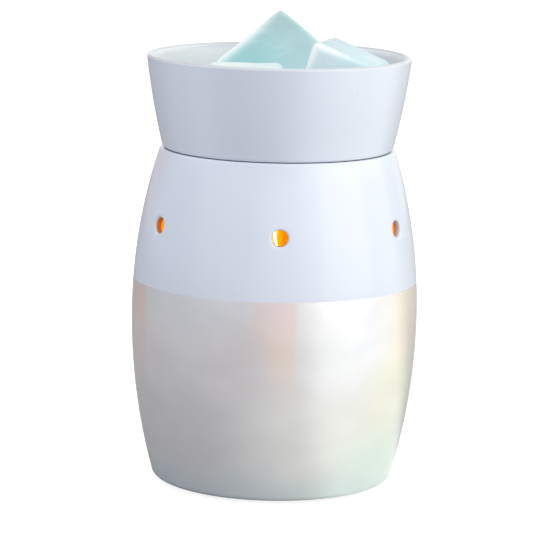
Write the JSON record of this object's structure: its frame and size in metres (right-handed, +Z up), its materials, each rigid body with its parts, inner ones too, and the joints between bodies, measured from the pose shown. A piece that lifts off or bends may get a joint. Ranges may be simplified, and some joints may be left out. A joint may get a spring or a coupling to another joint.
{
  "type": "wax melt warmer",
  "caption": "Barrel-shaped ceramic wax melt warmer with a lift-off dish of wax blocks, light holes in its wall, and a twist-lock lamp on a steel base inside.",
  "frame": {"origin": "on the axis of the body, in the plane that the rubber feet stand on", "axes": "+Z up along the axis; -Y is the front, with a light hole in its middle; +Y is the back, with the cord inlet"},
  "size_m": [0.114, 0.114, 0.1853],
  "materials": {
    "body_glaze": "white gloss glaze above, pearly lustre glaze below",
    "dish_glaze": "white gloss glaze",
    "wax": "pale aqua wax, soft gloss, slightly translucent",
    "lamp_glass": "clear",
    "quartz_glass": "clear",
    "filament": "glowing coil",
    "support_wire": "drawn wire",
    "porcelain": "unglazed porcelain",
    "plated_pins": "nickel plate",
    "contact_brass": "stamped",
    "zinc_steel": "zinc plate",
    "screw_steel": "zinc plate",
    "terminal_nylon": "moulded",
    "lead_black": "woven heatproof sleeve",
    "lead_white": "woven heatproof sleeve",
    "foot_rubber": "matt",
    "grommet_rubber": "matt"
  },
  "bodies": {
    "base": {"ceramic_body": "body_glaze", "socket_body": "porcelain", "socket_base": "porcelain", "socket_contacts": "contact_brass", "terminal_inserts": "contact_brass", "base_plate": "zinc_steel", "base_clips": "zinc_steel", "socket_bracket": "zinc_steel", "base_screws": "screw_steel", "base_nuts": "screw_steel", "bracket_screws": "screw_steel", "bracket_nuts": "screw_steel", "socket_screws": "screw_steel", "socket_nuts": "screw_steel", "terminal_screws": "screw_steel", "terminal_block_screw": "screw_steel", "terminal_block_nut": "screw_steel", "terminal_block": "terminal_nylon", "lead_live": "lead_black", "lead_neutral": "lead_white", "rubber_feet": "foot_rubber", "cord_grommet": "grommet_rubber"},
    "dish": {"wax_dish": "dish_glaze"},
    "wax_melts": {"wax_melt_back": "wax", "wax_melt_front": "wax", "wax_melt_right": "wax"},
    "lamp": {"bulb_envelope": "lamp_glass", "bulb_capsule": "quartz_glass", "bulb_filament": "filament", "bulb_support_wires": "support_wire", "bulb_base": "porcelain", "bulb_pins": "plated_pins"}
  },
  "joints": [
    {"name": "dish_lift", "type": "slide", "parent": "base", "child": "dish", "axis": [0, 0, 1], "range_m": [0, 0.1]},
    {"name": "wax_lift", "type": "slide", "parent": "dish", "child": "wax_melts", "axis": [0, 0, 1], "range_m": [0, 0.05]},
    {"name": "lamp_twist", "type": "hinge", "parent": "base", "child": "lamp", "pos_m": [0, 0, 0.05], "axis": [0, 0, 1], "range_deg": [0, 30]}
  ]
}
